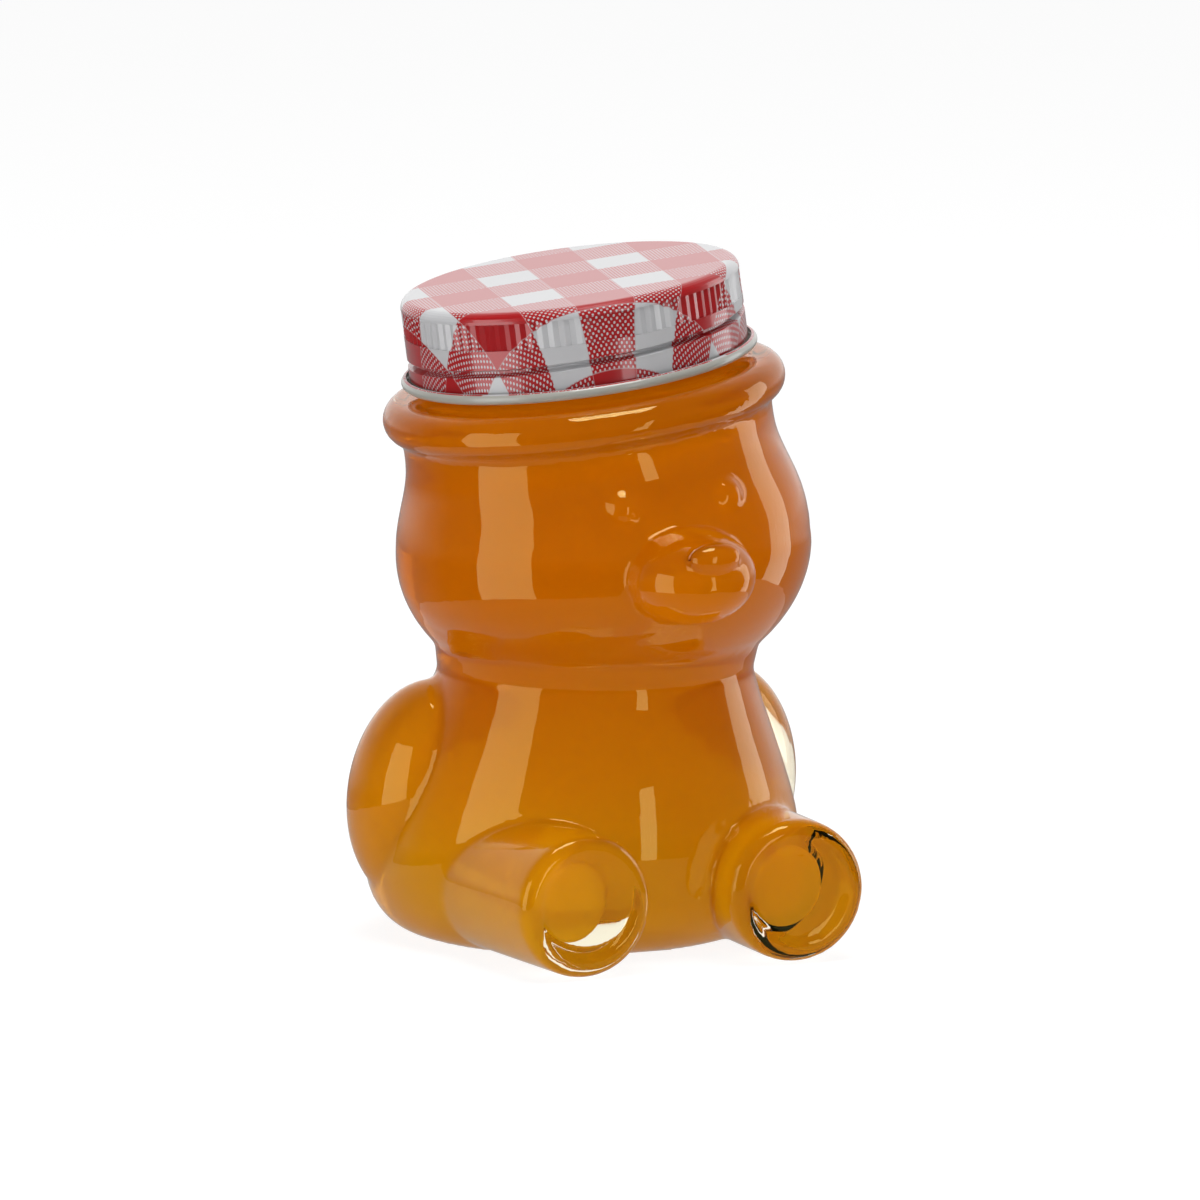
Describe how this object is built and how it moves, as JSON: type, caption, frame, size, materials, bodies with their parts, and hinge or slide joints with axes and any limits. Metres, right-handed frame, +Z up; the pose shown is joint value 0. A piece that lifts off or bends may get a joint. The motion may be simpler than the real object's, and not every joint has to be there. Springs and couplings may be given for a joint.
{
  "type": "honey jar with screw cap",
  "caption": "Seated teddy-bear jar of clear glass, filled with honey, with a slanted mouth and a metal screw cap with a rolled edge.",
  "frame": {"origin": "middle of the whole bear, seen from above, at the table surface", "axes": "+Z up, the bear looks along -Y, its right arm is towards -X, and the mouth leans to -X by 8 degrees"},
  "size_m": [0.081, 0.0951, 0.1173],
  "materials": {
    "clear_glass": "moulded, fire-polished",
    "honey": "clear amber liquid",
    "seal_compound": "matte, cast in place",
    "lacquered_tinplate": "printed and lacquered, glossy"
  },
  "bodies": {
    "jar": {"glass_jar": "clear_glass", "honey_fill": "honey"},
    "seal": {"sealing_ring": "seal_compound"},
    "cap": {"screw_cap": "lacquered_tinplate"}
  },
  "joints": [
    {"name": "lid_lift", "type": "slide", "parent": "jar", "child": "seal", "axis": [-0.1392, 0, 0.9903], "range_m": [0, 0.01778]},
    {"name": "lid_turn", "type": "hinge", "parent": "seal", "child": "cap", "pos_m": [0, 0.00136, 0.0673], "axis": [-0.1392, 0, 0.9903], "range_deg": [0, 1260]}
  ],
  "couplings": [
    {"joint": "lid_lift", "follows": "lid_turn", "m_per_rad": 0.00080851}
  ]
}
